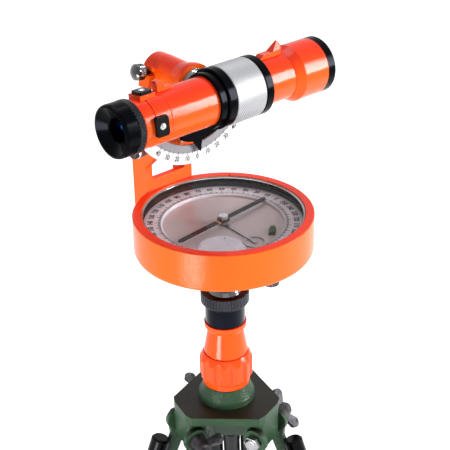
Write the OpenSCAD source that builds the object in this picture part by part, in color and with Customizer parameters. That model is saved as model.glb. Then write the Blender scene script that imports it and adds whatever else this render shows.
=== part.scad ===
// Compass theodolite with a ball joint, on a folding tripod with telescopic legs.
// Millimetres. The origin is the mouth of the plumb hook bore under the tripod head.
// +Z is up, the telescope looks along +Y and the standard rises on the -X side.

/* [Compass box] */
// Outer radius of the compass box
box_r = 59; // [56:0.5:64]
// Height of the compass box
box_h = 26.2; // [23:0.2:30]
// Width of the painted rim round the glass
rim_w = 5.7; // [4.5:0.1:7]
// Depth of the graduated ring's face below the rim
dial_depth = 8; // [7.5:0.5:10]
// Width of the graduated ring
ring_w = 11.5; // [9:0.5:14]
// Length of each arm of the needle
needle_l = 41.4; // [36:0.2:44]
// Width of the needle bar
needle_w = 3.5; // [2:0.5:4]
// Angle of the needle, anticlockwise from +X
needle_az = 95.2; // [90:0.2:100]
// Radius of the round plate on the dial
plate_r = 15; // [12:0.2:16]
// Radius of the knob that lifts the needle
lift_r = 5.3; // [4:0.1:6]

/* [Standard] */
// Height of the telescope axis above the rim
axis_h = 79.5; // [78:0.5:88]
// Width of the standard, along the telescope
std_w = 40; // [36:1:44]
// Thickness of the standard where it stands on the box
std_t = 13.5; // [11:0.5:16]
// Height at which the standard starts to slant inwards
slant_z = 18.5; // [15:0.5:22]
// Width of each side leg beside the window
std_leg = 6; // [5:0.5:9]
// Bottom of the window above the rim
window_z = 8; // [6:0.5:12]
// Radius of the trunnion head
head_r = 12.5; // [12:0.5:14]
// Radius of the trunnion shaft
shaft_r = 9.5; // [7:0.5:10]
// Length of the trunnion head
head_l = 39.5; // [34:0.5:42]

/* [Vertical arc] */
// Inner radius of the arc plate
arc_in = 39.6; // [38:0.2:42]
// Outer radius of the arc plate
arc_out = 52.5; // [50:0.5:56]
// Half angle that the arc plate spans
arc_half = 52; // [46:1:60]
// Thickness of the arc plate
arc_t = 1.5; // [1:0.1:2]
// Reach of the pointer below the telescope axis
pointer_r = 44; // [41:0.5:47]

/* [Telescope] */
// Radius of the main tube
tube_r = 15.5; // [14.5:0.1:16]
// Length of the main tube behind the trunnion
tube_back = 69.4; // [66:0.2:76]
// Radius of the front tube
front_r = 15.1; // [14:0.1:15.5]
// Radius of the objective bell
bell_r = 18.4; // [17.5:0.1:19]
// Front end of the objective bell, before the trunnion
bell_y = 76; // [72:1:84]
// Length of the black objective ring
obj_l = 7; // [5:0.5:9]
// Radius of the focusing ring and its two bands
focus_r = 19.2; // [18:0.1:19.5]
// Length of the focusing ring
focus_l = 23.7; // [20:0.1:28]
// Length of each black band beside it
band_l = 6; // [4.5:0.1:7]
// Radius of the eyecup
cup_r = 16.3; // [14:0.1:17]
// Length of the eyecup
cup_l = 9.2; // [5:0.2:10]
// Length of the dioptre ring
dioptre_l = 4.9; // [4:0.1:7]
// Radius of the level tube behind the arc
level_r = 4.5; // [4:0.1:4.8]
// Length of the level tube outside the standard
level_l = 26; // [22:0.5:32]

/* [Ball joint] */
// Radius of the ball
ball_r = 12.3; // [11:0.1:12.8]
// Radius of the spindle above the ball
stem_r = 8; // [6:0.1:8.5]
// Radius of the knurled clamp ring
clamp_r = 16.5; // [16:0.1:18]
// Height of the clamp ring
clamp_h = 10.3; // [9.5:0.1:12]
// Radius of the polished socket under it
socket_r = 13.7; // [13.4:0.1:14.4]
// Height of the polished socket
socket_h = 13.7; // [11:0.1:16]
// Height of the painted neck
neck_h = 24.3; // [20:0.1:30]
// Radius of the fluted mounting nut
nut_r = 18.3; // [17.5:0.1:20]
// Height of the fluted mounting nut
nut_h = 25.2; // [22:0.1:30]
// Number of flutes round the nut
flutes = 12; // [8:1:16]

/* [Tripod] */
// Thickness of the head plate
head_t = 6.6; // [5:0.2:9]
// Distance from the centre to the head's short sides
head_u = 36.8; // [35:0.2:40]
// Width of the head's short sides
short_w = 26.2; // [25:0.2:30]
// Height of the green boss on the plate
boss_h = 11.9; // [9:0.1:15]
// Radius of the green boss
boss_r = 19.7; // [18.5:0.1:21]
// Drop of the centre screw below the plate
screw_drop = 14.5; // [12:0.5:20]
// Radius of the plumb hook bore
hook_r = 2.5; // [2:0.1:3]
// Distance of the leg hinges from the centre
hinge_u = 32; // [31:0.5:35]
// Width of the lug between the arms of a leg
lug_w = 24; // [20:1:28]
// Spread of each leg from the vertical
splay = 20; // [16:1:24]
// Length of a closed leg from its hinge
leg_l = 420; // [380:5:480]
// Radius of the leg tubes
leg_tube_r = 6.8; // [6:0.1:7.2]
// Radius of the sliding inner leg
slide_r = 6.5; // [5.5:0.1:6.6]
// Thickness of the hinge arms
arm_t = 3.7; // [3:0.1:5]
// Azimuth of the first leg
leg_az = 256.3; // [240:0.1:270]

/* [Hidden] */
$fn = 72;

// radial play of a running fit
play = 0.05;
// gap between faces that move past each other
gap = 0.3;
// overlap of a cutting tool past the face that it cuts
cut = 1;

// heights up the tripod head and the neck
plate_z = screw_drop;
boss_z = plate_z + head_t;
nut_z = boss_z + boss_h + gap;
neck_z = nut_z + nut_h + gap;
socket_z = neck_z + neck_h;
clamp_z = socket_z + socket_h + gap;
ball_z = clamp_z + clamp_h - 3.4;
hub_z = ball_z + ball_r + gap;
hub_h = 23.2;
box_z = hub_z + hub_h;
rim_z = box_z + box_h;
axis_z = rim_z + axis_h;
// thread of the nut on the boss, and the neck's flange inside the nut
stud_r = nut_r - 4.3;
stud_h = nut_h * 0.62;
shank_r = 12.9;
// cavity that holds the ball
cavity_r = ball_r + play;
collar_r = cavity_r + 1.25;
// hinge of a leg: height, bolt, and how far outboard the tubes run
hinge_z = plate_z - 13;
bolt_r = 3;
lug_r = 9.5;
flush = head_u - hinge_u - 0.3;
arm_y = lug_w / 2 + gap;
tube_t = leg_tube_r + 2.2;
tube_v = slide_r + leg_tube_r + 0.7;
clamp_top = leg_l - 90;
clamp_len = 36;
screw_s = clamp_top + 18;
foot_s = clamp_top + clamp_len + gap;
slide_top = 72;

// inside of the box: glass, well, ring, plate, needle and lifter
glass_t = 1.8;
glass_d = dial_depth - 4.8;
well_r = box_r - rim_w - 1.2;
plate_d = 2;
plate_top = rim_z - dial_depth - plate_d;
floor_d = dial_depth + plate_d + 2;
needle_z = rim_z - dial_depth + 1.1;
pivot_h = floor_d - dial_depth + 2.3;
index_az = 134.3;
lift_x = box_r - 8;
lift_y = -6;
ring_in = well_r - ring_w;
loop_r = 7.6;
eye_x = (ring_in - 8.54) * cos(-3.58);
eye_y = (ring_in - 8.54) * sin(-3.58);
lift_az = atan2(eye_y, eye_x);
vial_x = (ring_in - 7.14) * cos(27.8);
vial_y = (ring_in - 7.14) * sin(27.8);
vial_az = 132;
vial_l = 9;
round_x = (ring_in - 8.2) * cos(-43.25);
round_y = (ring_in - 8.2) * sin(-43.25);
lifter_l = norm([eye_x, eye_y]);
// faces along the trunnion: saddle, arc and standard
saddle_t = 3;
saddle_x = -focus_r - gap - saddle_t;
arc_x = saddle_x - 2.1;
std_face = arc_x - arc_t;
head_x = std_face + 1.1 - head_l;
level_x = std_face - level_r - 1;
level_z = rim_z + slant_z + 26.3;
arc_boss_z = axis_z - sqrt(pow((arc_in + arc_out) / 2 - 2, 2) - pow(std_w / 2 - 3, 2));
clamp_x = head_x + 9.5;
screw_up = 1.7;
screw_tilt = 11.5;
// stations along the telescope
focus_y = -2.7;
band_y = focus_y + focus_l + gap;
tube_front_y = band_y + band_l;
bore_r = tube_r - 3;
spigot_r = 11;
ring_y = -tube_back - gap - dioptre_l;
cup_y = ring_y - gap - cup_l;
lens_r = bell_r - 2.2;
eye_r = 7;
cover_y = -tube_back + 10.4;
tube_roll = 6;

function polar(r, a) = [r * cos(a), r * sin(a)];

module at_leg(i) {
  rotate([0, 0, leg_az + 120 * i])
    translate([hinge_u, 0, hinge_z])
      children();
}

// leg frame: the hinge at the origin, the leg down -Z, outward +X
module in_leg(i) {
  at_leg(i)
    rotate([0, -splay, 0])
      children();
}

// lays a shape drawn in X and Z out along Y, centred
module across(width) {
  rotate([90, 0, 0])
    linear_extrude(height = width, center = true)
      children();
}

// telescope frame: +Z along the line of sight from the trunnion, +Y down
module in_tube() {
  translate([0, 0, axis_z])
    rotate([-90, 0, 0])
      children();
}

// turns what stands on the telescope's top a little outwards, as it was set when it was assembled
module rolled() {
  translate([0, 0, axis_z])
    rotate([0, -tube_roll, 0])
      translate([0, 0, -axis_z])
        children();
}

module wing_nut(hub, height, base, span, bore) {
  difference() {
    union() {
      cylinder(r1 = hub, r2 = hub * 0.8, h = height);
      for (side = [-1, 1])
        across(3)
          union() {
            translate([side * (span - 4), height])
              circle(r = 4);
            polygon([[0, base], [side * hub * 0.9, base], [side * (span - 2.2), height - 3.6],
              [side * (span - 5.4), height + 3.7], [side * hub * 0.5, height - 1.5], [0, height - 1.5]]);
          }
    }
    translate([0, 0, -cut])
      cylinder(r = bore, h = height + 6 * cut);
  }
}

// Tripod head: a hexagonal plate with a threaded boss and three hinge lugs
module head_outline() {
  half = short_w / 2;
  polygon([for (i = [0:2]) for (side = [-1, 1])
    let (c = [head_u, side * half], a = leg_az + 120 * i)
    [c[0] * cos(a) - c[1] * sin(a), c[0] * sin(a) + c[1] * cos(a)]]);
}

module tripod_head() {
  color("darkseagreen")
  difference() {
    union() {
      translate([0, 0, plate_z])
        linear_extrude(height = head_t)
          intersection() {
            head_outline();
            circle(r = norm([head_u, short_w / 2]) - 1.4);
          }
      translate([0, 0, boss_z])
        rotate_extrude()
          polygon([[0, 0], [boss_r, 0], [boss_r, 3.8], [boss_r - 0.5, 4.4], [boss_r - 4, boss_h],
            [stud_r, boss_h], [stud_r, boss_h + stud_h - 1], [stud_r - 1, boss_h + stud_h],
            [0, boss_h + stud_h]]);
      for (i = [0:2])
        at_leg(i)
          intersection() {
            across(lug_w)
              union() {
                circle(r = lug_r);
                translate([-lug_r, 0])
                  square([2 * lug_r, plate_z - hinge_z + head_t / 2]);
              }
            // outer face flush with the plate, its corners rounded
            translate([0, 0, -lug_r - cut])
              linear_extrude(height = lug_r + plate_z - hinge_z + head_t)
                union() {
                  translate([-lug_r - cut, -lug_w / 2])
                    square([lug_r + cut + flush - 3, lug_w]);
                  translate([-lug_r, -lug_w / 2 + 3])
                    square([lug_r + flush, lug_w - 6]);
                  for (side = [-1, 1])
                    translate([flush - 3, side * (lug_w / 2 - 3)])
                      circle(r = 3);
                }
          }
    }
    translate([0, 0, plate_z - cut])
      cylinder(r = 5, h = head_t + boss_h + 8 + cut);
    for (i = [0:2])
      at_leg(i)
        rotate([90, 0, 0])
          cylinder(r = bolt_r, h = lug_w + 2, center = true);
  }
}

// Centre screw that holds the boss, with the bore for the plumb hook in its end
module head_screw() {
  color("silver")
  difference() {
    rotate_extrude()
      polygon([[0, 0], [6, 0], [7, 1], [7, screw_drop - 5], [12, screw_drop - 4.5],
        [12, screw_drop], [5, screw_drop], [5, boss_z + boss_h + 8], [0, boss_z + boss_h + 8]]);
    translate([0, 0, -cut])
      cylinder(r = hook_r, h = 8 + cut);
  }
}

// Three hinge bolts with hexagonal heads
module pivot_bolts() {
  color("silver")
  for (i = [0:2])
    at_leg(i)
      rotate([-90, 0, 0])
        translate([0, 0, -arm_y - arm_t - gap])
          union() {
            translate([0, 0, -4])
              cylinder(r = 6, h = 4, $fn = 6);
            translate([0, 0, -4.8])
              cylinder(r1 = 3.6, r2 = 5, h = 0.8);
            cylinder(r = bolt_r, h = 2 * (arm_y + arm_t + gap) + 15);
          }
}

// Upper leg casting: two hinge arms and the yoke that grips both tubes
module leg_top(i) {
  color("darkseagreen")
  in_leg(i)
  difference() {
    union() {
      for (side = [-1, 1])
        translate([0, side * (arm_y + arm_t / 2), 0])
          across(arm_t)
            union() {
              circle(r = 9);
              polygon([[-8.9, 1], [8.9, 1], [tube_t - leg_tube_r, -13], [tube_t - leg_tube_r, -68],
                [-5, -71], [-6, -68], [-6.5, -34]]);
            }
      translate([0, 0, -60])
        linear_extrude(height = 20)
          union() {
            for (side = [-1, 1])
              translate([tube_t, side * tube_v])
                circle(r = leg_tube_r + 2);
            translate([tube_t - 5, -tube_v])
              square([10, 2 * tube_v]);
            translate([-4, -arm_y - arm_t])
              square([tube_t, 2 * (arm_y + arm_t)]);
          }
    }
    for (side = [-1, 1])
      translate([tube_t, side * tube_v, -80])
        cylinder(r = leg_tube_r, h = 80 - 12);
    rotate([90, 0, 0])
      cylinder(r = bolt_r + play, h = 2 * (arm_y + arm_t) + 2, center = true);
  }
}

// Two outer leg tubes with domed end plugs
module leg_tubes(i) {
  color("dimgray")
  in_leg(i)
  for (side = [-1, 1])
    translate([tube_t, side * tube_v, 0])
      rotate_extrude()
        polygon([[0, -16], [leg_tube_r - 1.4, -16], [leg_tube_r, -17.4], [leg_tube_r, -clamp_top - 18],
          [leg_tube_r - 1.2, -clamp_top - 18], [leg_tube_r - 1.2, -24], [0, -24]]);
}

// Lower leg casting: holds both tubes and guides the sliding leg
module leg_clamp(i) {
  color("darkseagreen")
  in_leg(i)
  difference() {
    union() {
      translate([0, 0, -clamp_top - clamp_len])
        linear_extrude(height = clamp_len)
          union() {
            for (side = [-1, 1])
              translate([tube_t, side * tube_v])
                circle(r = leg_tube_r + 2.2);
            translate([tube_t - leg_tube_r - 2.2, -tube_v])
              square([2 * leg_tube_r + 4.4, 2 * tube_v]);
          }
      translate([tube_t, 0, -screw_s])
        rotate([0, 90, 0])
          cylinder(r = 6, h = leg_tube_r + 8);
    }
    for (side = [-1, 1])
      translate([tube_t, side * tube_v, -clamp_top - 18])
        cylinder(r = leg_tube_r, h = 20);
    translate([tube_t, 0, -clamp_top - clamp_len - cut])
      cylinder(r = slide_r + play, h = clamp_len + 2 * cut);
    translate([tube_t, 0, -screw_s])
      rotate([0, 90, 0])
        cylinder(r = 2.5 + play, h = leg_tube_r + 10);
  }
}

// Sliding inner leg with its guide collar, shoe, tread and point
module leg_slide(i) {
  color("lightgray")
  in_leg(i)
  translate([tube_t, 0, 0])
    union() {
      rotate_extrude()
        polygon([[0, -slide_top], [slide_r + 0.4, -slide_top], [slide_r + 0.4, -slide_top - 12],
          [slide_r, -slide_top - 12.5], [slide_r, -foot_s], [9, -foot_s], [9, -foot_s - 16],
          [7.5, -foot_s - 19], [2.2, -leg_l + 3], [1.2, -leg_l], [0, -leg_l]]);
      translate([0, 0, -foot_s - 11])
        linear_extrude(height = 4)
          union() {
            translate([0, -5])
              square([17, 10]);
            translate([17, 0])
              circle(r = 5);
          }
    }
}

// Wing nut on a hinge bolt
module hinge_nut(i) {
  color("gray")
  at_leg(i)
    translate([0, arm_y + arm_t + gap, 0])
      rotate([-90, 0, 0])
        rotate([0, 0, 35 + 20 * i])
          wing_nut(6.5, 12, 6, 16, bolt_r + play);
}

// Wing screw that locks a sliding leg
module slide_screw(i) {
  color("gray")
  in_leg(i)
    translate([tube_t, 0, -screw_s])
      rotate([0, 90, 0])
        union() {
          translate([0, 0, slide_r + gap])
            cylinder(r = 2.5, h = leg_tube_r + 10 - slide_r);
          translate([0, 0, leg_tube_r + 8 + gap])
            wing_nut(5.5, 8, 1, 15, 1);
        }
}

// Fluted nut that draws the neck down onto the boss
module mount_nut() {
  color("darkorange")
  translate([0, 0, nut_z])
    difference() {
      rotate_extrude()
        polygon([[stud_r + play, 0], [nut_r - 2.6, 0], [nut_r - 1.7, 0.9], [nut_r - 1.7, 4.5],
          [nut_r, 6.5], [nut_r, nut_h - 5], [nut_r - 2.2, nut_h - 0.9], [nut_r - 2.8, nut_h],
          [shank_r + play, nut_h], [shank_r + play, nut_h - 3.5], [stud_r + play, nut_h - 3.5]]);
      // flutes that run out over the cone of the shoulder
      for (i = [0:flutes - 1])
        rotate([0, 0, 360 / flutes * i])
          translate([nut_r + 2.4, 0, -cut])
            cylinder(r = 3.9, h = nut_h + 2 * cut, $fn = 32);
    }
}

// Painted neck: a flange inside the nut, a cone, a waist and a lip
module neck_cone() {
  color("orangered")
  translate([0, 0, neck_z])
    rotate_extrude()
      polygon([[0, -7.5], [stud_r - 0.3, -7.5], [stud_r - 0.3, -4.2], [shank_r, -4.2], [shank_r, 0],
        [14.8, 0], [15.2, 0.8], [12.4, neck_h - 7.4], [12.2, neck_h - 6.2], [12.9, neck_h - 4.2],
        [14.5, neck_h - 3.2], [14.5, neck_h], [0, neck_h]]);
}

// Polished socket: a cup round the lower half of the ball
module ball_socket() {
  color("dimgray")
  difference() {
    rotate_extrude()
      polygon([[0, socket_z], [socket_r - 0.5, socket_z], [socket_r, socket_z + 0.6],
        [socket_r, clamp_z - gap], [collar_r, clamp_z - gap], [collar_r, ball_z], [0, ball_z]]);
    translate([0, 0, ball_z])
      sphere(r = cavity_r);
  }
}

// Clamp ring: straight knurl, chamfered below, closing over the ball
module clamp_ring() {
  teeth = 48;
  color("silver")
  difference() {
    intersection() {
      translate([0, 0, clamp_z])
        linear_extrude(height = clamp_h)
          polygon([for (i = [0:teeth - 1]) for (k = [0, 0.3, 0.6])
            polar(k == 0.6 ? clamp_r - 0.5 : clamp_r, 360 / teeth * (i + k))]);
      translate([0, 0, clamp_z])
        rotate_extrude()
          polygon([[0, 0], [clamp_r - 2, 0], [clamp_r + 0.1, 2.4], [clamp_r + 0.1, clamp_h - 0.8],
            [clamp_r - 0.8, clamp_h], [0, clamp_h]]);
    }
    translate([0, 0, clamp_z - cut])
      cylinder(r = collar_r + play, h = ball_z - clamp_z + cut + 0.2);
    translate([0, 0, ball_z])
      sphere(r = cavity_r);
  }
}

// Inner ball: carries the first of the two tilt axes
module tilt_ball() {
  color("silver")
  translate([0, 0, ball_z])
    sphere(r = ball_r * 0.58);
}

// Ball and spindle
module ball_stem() {
  color("silver")
  difference() {
    union() {
      translate([0, 0, ball_z])
        sphere(r = ball_r);
      translate([0, 0, ball_z])
        cylinder(r = stem_r, h = ball_r + 19);
    }
    translate([0, 0, ball_z])
      sphere(r = ball_r * 0.58 + play);
    translate([0, 0, ball_z - ball_r - cut])
      cylinder(r = 4, h = ball_r);
  }
}

// Hub under the box, turning on the spindle
module azimuth_hub() {
  color("orangered")
  difference() {
    union() {
      translate([0, 0, hub_z])
        rotate_extrude()
          polygon([[0, 0], [stem_r + 4.5, 0], [stem_r + 6, 1.5], [stem_r + 6, 14], [stem_r + 8, 17],
            [stem_r + 18, 20], [stem_r + 18, hub_h], [0, hub_h]]);
      translate([0, 0, hub_z + 7.5])
        rotate([0, 90, 150])
          cylinder(r = 4.5, h = stem_r + 9);
    }
    translate([0, 0, hub_z - cut])
      cylinder(r = stem_r + play, h = 19.5 + cut);
    translate([0, 0, hub_z + 7.5])
      rotate([0, 90, 150])
        cylinder(r = 2 + play, h = stem_r + 10);
  }
}

// a short knurled knob: a stem along +Z, then a ribbed rim with a domed face
module knurled_knob(stem, stem_l, head, head_t, ribs) {
  union() {
    cylinder(r = stem, h = stem_l + 0.5);
    translate([0, 0, stem_l])
      linear_extrude(height = head_t * 0.55)
        polygon([for (i = [0:ribs - 1]) for (k = [0, 0.5])
          polar(k == 0 ? head : head - 0.45, 360 / ribs * (i + k))]);
    translate([0, 0, stem_l + head_t * 0.55])
      intersection() {
        cylinder(r = head - 0.1, h = head_t * 0.45);
        translate([0, 0, head_t * 0.45 - head * 1.35])
          sphere(r = head * 1.35);
      }
  }
}

// Clamp screw of the horizontal movement
module azimuth_screw() {
  color("silver")
  translate([0, 0, hub_z + 7.5])
    rotate([0, 90, 150])
      translate([0, 0, stem_r + gap])
        knurled_knob(2, 9.5, 5, 6, 24);
}

// Compass box: a turned pot with a ledge for the glass and a boss for the lifting knob
module compass_box() {
  color("orangered")
  difference() {
    union() {
      translate([0, 0, box_z])
        rotate_extrude($fn = 144)
          polygon([[0, 0], [box_r - 2.2, 0], [box_r - 0.6, 0.7], [box_r, 2.2],
            [box_r, box_h - 0.5], [box_r - 0.5, box_h], [0, box_h]]);
    }
    translate([0, 0, rim_z - glass_d])
      cylinder(r = box_r - rim_w, h = glass_d + cut, $fn = 144);
    translate([0, 0, rim_z - floor_d])
      cylinder(r = well_r, h = floor_d, $fn = 144);
    // index notch in the rim
    rotate([0, 0, index_az])
      translate([box_r - rim_w + 1, 0, rim_z])
        cylinder(r = 1.1, h = 1.2, center = true, $fn = 24);
    // bore of the lifting spindle
    translate([lift_x, lift_y, box_z - cut])
      cylinder(r = 2 + play, h = 6 + cut);
  }
}

// Bright ring that holds the glass down
module bezel_ring() {
  color("silver")
  translate([0, 0, rim_z])
    rotate_extrude($fn = 144)
      polygon([[well_r - 0.4, -glass_d + glass_t], [box_r - rim_w, -glass_d + glass_t],
        [box_r - rim_w, -0.9], [box_r - rim_w - 0.5, -0.5], [well_r + 0.2, -1.1]]);
}

module cover_glass() {
  color("lightcyan", 0.3)
  translate([0, 0, rim_z - glass_d])
    cylinder(r = box_r - rim_w, h = glass_t, $fn = 144);
}

// Graduated ring, bevelled inwards
module dial_ring() {
  color("gainsboro")
  translate([0, 0, rim_z - dial_depth])
    rotate_extrude($fn = 144)
      polygon([[ring_in - 0.8, -plate_d], [well_r, -plate_d], [well_r, 0],
        [ring_in, 0], [ring_in - 0.8, -0.8]]);
}

// Dial plate with the holes for the pivot and the raised eye at the lifting spindle
module dial_plate() {
  color("tan")
  difference() {
    union() {
      translate([0, 0, rim_z - floor_d])
        cylinder(r = well_r, h = floor_d - dial_depth - plate_d, $fn = 144);
      translate([eye_x, eye_y, plate_top])
        difference() {
          cylinder(r = loop_r, h = 0.8);
          cylinder(r = loop_r - 1.6, h = 2, center = true);
          rotate([0, 0, lift_az])
            translate([-9, -1.8, 0])
              cube([9, 3.6, 1]);
        }
    }
    translate([0, 0, rim_z - floor_d - cut])
      cylinder(r = 1.6, h = floor_d);
    // slot that the vial is let into
    translate([vial_x, vial_y, plate_top - 1.6])
      rotate([0, 0, vial_az])
        translate([-vial_l / 2 - play, -2.1 - play, 0])
          cube([vial_l + 2 * play, 4.2 + 2 * play, 2]);
  }
}

// Magnetic needle with its hub and jewelled cap
module needle() {
  color("black")
  translate([0, 0, needle_z])
    rotate([0, 0, needle_az])
      difference() {
        union() {
          linear_extrude(height = 0.7)
            polygon([[needle_l, 0], [needle_l - 2, needle_w / 2], [5, needle_w / 2],
              [-5, needle_w / 2], [-needle_l + 2, needle_w / 2], [-needle_l, 0],
              [-needle_l + 2, -needle_w / 2], [-5, -needle_w / 2], [5, -needle_w / 2],
              [needle_l - 2, -needle_w / 2]]);
          cylinder(r = 4.2, h = 0.7);
          translate([0, 0, -0.4])
            cylinder(r = 3.1, h = dial_depth - glass_d - 1.1 - gap + 0.4);
        }
        translate([0, 0, -cut])
          cylinder(r = 1.0 + play, h = 1.3 + cut);
      }
}

module needle_pivot() {
  color("goldenrod")
  translate([0, 0, rim_z - floor_d])
    rotate_extrude()
      polygon([[0, 0], [1.6, 0], [1.6, floor_d - dial_depth - plate_d],
        [1.0, floor_d - dial_depth - plate_d + 0.5], [1.0, pivot_h - 0.5], [0.3, pivot_h], [0, pivot_h]]);
}

// Lifter: a fork round the pivot on a long arm that ends over the lifting spindle
module lifter() {
  color("peru")
  translate([0, 0, plate_top + gap])
    linear_extrude(height = 0.6)
      difference() {
        union() {
          circle(r = 2.9);
          rotate([0, 0, lift_az])
            translate([2, -1.1])
              square([lifter_l - 2, 2.2]);
          rotate([0, 0, lift_az])
            translate([lifter_l, 0])
              circle(r = 1.8);
        }
        circle(r = 1.9);
      }
}

// Knurled knob under the box
module lift_knob() {
  color("silver")
  translate([lift_x, lift_y, box_z])
    mirror([0, 0, 1])
      union() {
        translate([0, 0, -5.5])
          cylinder(r = 2, h = 6.5);
        translate([0, 0, gap])
          knurled_knob(2, 0.2, lift_r, 5, 24);
      }
}

// Tubular vial let into the dial plate
module box_vial() {
  color("olivedrab")
  translate([vial_x, vial_y, plate_top])
    rotate([0, 0, vial_az])
      union() {
        translate([-vial_l / 2, 0, 0.55])
          rotate([0, 90, 0])
            cylinder(r = 2.1, h = vial_l);
        translate([-vial_l / 2, -2.1, -1.6])
          cube([vial_l, 4.2, 1.7]);
      }
}

// Round plate, its edge trimmed where it meets the graduated ring and the raised eye
module round_plate() {
  color("white")
  difference() {
    intersection() {
      translate([round_x, round_y, plate_top])
        union() {
          cylinder(r = plate_r, h = 0.5);
          for (a = [128, 218])
            rotate([0, 0, a])
              translate([plate_r - 1.6, 0, 0])
                cylinder(r = 0.9, h = 0.9, $fn = 24);
        }
      translate([0, 0, plate_top - cut])
        cylinder(r = ring_in - 1.1, h = 4, $fn = 144);
    }
    translate([eye_x, eye_y, plate_top - 1])
      cylinder(r = loop_r + 0.2, h = 4);
  }
}

// Standard: a post that rises beside the box, slants in and carries the trunnion head
module standard_profile() {
  near = 0.2 - sqrt(pow(box_r, 2) - pow(std_w / 2, 2));
  far = near - std_t;
  lean = (std_face - near) * 0.913;
  polygon([[far, box_z + 1.5], [far + 1.5, box_z], [near, box_z], [near, rim_z + slant_z],
    [std_face, rim_z + slant_z + lean], [std_face, axis_z], [std_face - 12, axis_z],
    [std_face - 12, rim_z + slant_z + lean + 4], [far + 0.4, rim_z + slant_z + 3],
    [far, rim_z + slant_z + 2]]);
}

module standard() {
  half = std_w / 2;
  color("orangered")
  difference() {
    union() {
      intersection() {
        across(std_w)
          standard_profile();
        rotate([90, 0, 90])
          translate([0, 0, -90])
            linear_extrude(height = 80)
              polygon([[-half, box_z], [half, box_z], [half, rim_z + 46], [head_r, axis_z - 6],
                [head_r, axis_z], [-head_r, axis_z], [-head_r, axis_z - 6], [-half, rim_z + 46]]);
      }
      // trunnion head, waisted between its collar and its flange
      translate([head_x, 0, axis_z])
        rotate([0, 90, 0])
          rotate_extrude()
            polygon([[0, 0], [head_r - 1.5, 0], [head_r, 1.5], [head_r, 11], [head_r - 0.3, 11.3],
              [head_r - 0.3, 11.6], [head_r, 12], [head_r - 0.6, head_l - 12],
              [head_r + 1.3, head_l - 3.5], [head_r + 1.3, head_l], [0, head_l]]);
      // web under the outer end of the head
      translate([0, 2, 0])
        across(9)
          polygon([[std_face - 11, axis_z - 26], [std_face - 11, axis_z - 5],
            [std_face - 33, axis_z - 5], [std_face - 33, axis_z - 15]]);
      // ears of the clamp, the lower one longer
      translate([clamp_x, 0, axis_z + screw_up])
        rotate([-screw_tilt, 0, 0]) {
          translate([-4.2, -head_r - 1.8, -3])
            cube([10, head_r, 6.6]);
          translate([-4.2, -head_r - 4.5, -10])
            cube([10, head_r, 8.5]);
        }
      // boss round the inner end of the level tube
      translate([level_x, -std_w / 2 + 8, level_z])
        rotate([90, 0, 0])
          cylinder(r = level_r + 0.9, h = 9);
      // bosses behind the arc
      for (side = [-1, 1])
        translate([std_face - 12, side * (half - 3), arc_boss_z])
          rotate([0, 90, 0])
            cylinder(r = 3, h = 12);
    }
    // window through the post and the slant
    rotate([90, 0, 90])
      translate([0, 0, -90])
        linear_extrude(height = 80)
          union() {
            translate([-half + std_leg + 2, rim_z + window_z])
              square([std_w - 2 * std_leg - 4, 32]);
            translate([-half + std_leg, rim_z + window_z + 2])
              square([std_w - 2 * std_leg, 28]);
            for (y = [-1, 1]) for (z = [2, 30])
              translate([y * (half - std_leg - 2), rim_z + window_z + z])
                circle(r = 2, $fn = 24);
          }
    // pocket behind the web under the window
    translate([-90, -half + std_leg, rim_z + 1])
      cube([90 - sqrt(pow(box_r, 2) - pow(half, 2)) - 4, std_w - 2 * std_leg, window_z + 1]);
    // blind bore for the spigot of the level tube
    translate([level_x, -std_w / 2 + 8, level_z])
      rotate([90, 0, 0])
        cylinder(r = level_r - 1 + play, h = std_w);
    // seat on the box wall
    translate([0, 0, box_z - cut])
      cylinder(r = box_r, h = box_h + cut, $fn = 144);
    // bore of the trunnion shaft
    translate([head_x - cut, 0, axis_z])
      rotate([0, 90, 0])
        cylinder(r = shaft_r + play, h = head_l + 2 * cut);
    // bore and slot of the clamp screw
    translate([clamp_x, 0, axis_z + screw_up])
      rotate([-screw_tilt, 0, 0]) {
        rotate([90, 0, 0])
          cylinder(r = 1.8 + play, h = head_r + 8);
        translate([-8, -head_r - 6, -1.2])
          cube([16, 5.5, 2.4]);
      }
  }
}

// Trunnion shaft with its washer, fixed to the saddle
module trunnion_shaft() {
  color("silver")
  translate([head_x + 2, 0, axis_z])
    rotate([0, 90, 0])
      rotate_extrude()
        polygon([[0, 0], [shaft_r - 0.5, 0], [shaft_r, 0.5], [shaft_r, head_l - 2 + gap],
          [shaft_r + 1.5, head_l - 2 + gap], [shaft_r + 1.5, head_l - 1.2 + gap],
          [shaft_r, head_l - 1.2 + gap], [shaft_r, saddle_x + saddle_t - head_x - 2],
          [0, saddle_x + saddle_t - head_x - 2]]);
}

// Clamp screw of the telescope
module tilt_screw() {
  color("silver")
  translate([clamp_x, 0, axis_z + screw_up])
    rotate([-screw_tilt, 0, 0])
      rotate([90, 0, 0])
        translate([0, 0, shaft_r + gap])
          knurled_knob(1.8, head_r + 6.4 - shaft_r - gap, 5.3, 7.5, 24);
}

// Arc plate: a flat sector behind the pointer
module arc_plate() {
  color("white")
  translate([std_face, 0, axis_z])
    rotate([90, 0, 90])
      linear_extrude(height = arc_t)
        intersection() {
          difference() {
            circle(r = arc_out, $fn = 180);
            circle(r = arc_in, $fn = 180);
          }
          polygon([[0, 0], polar(90, 270 - arc_half), [0, -90], polar(90, 270 + arc_half)]);
        }
}

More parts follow.
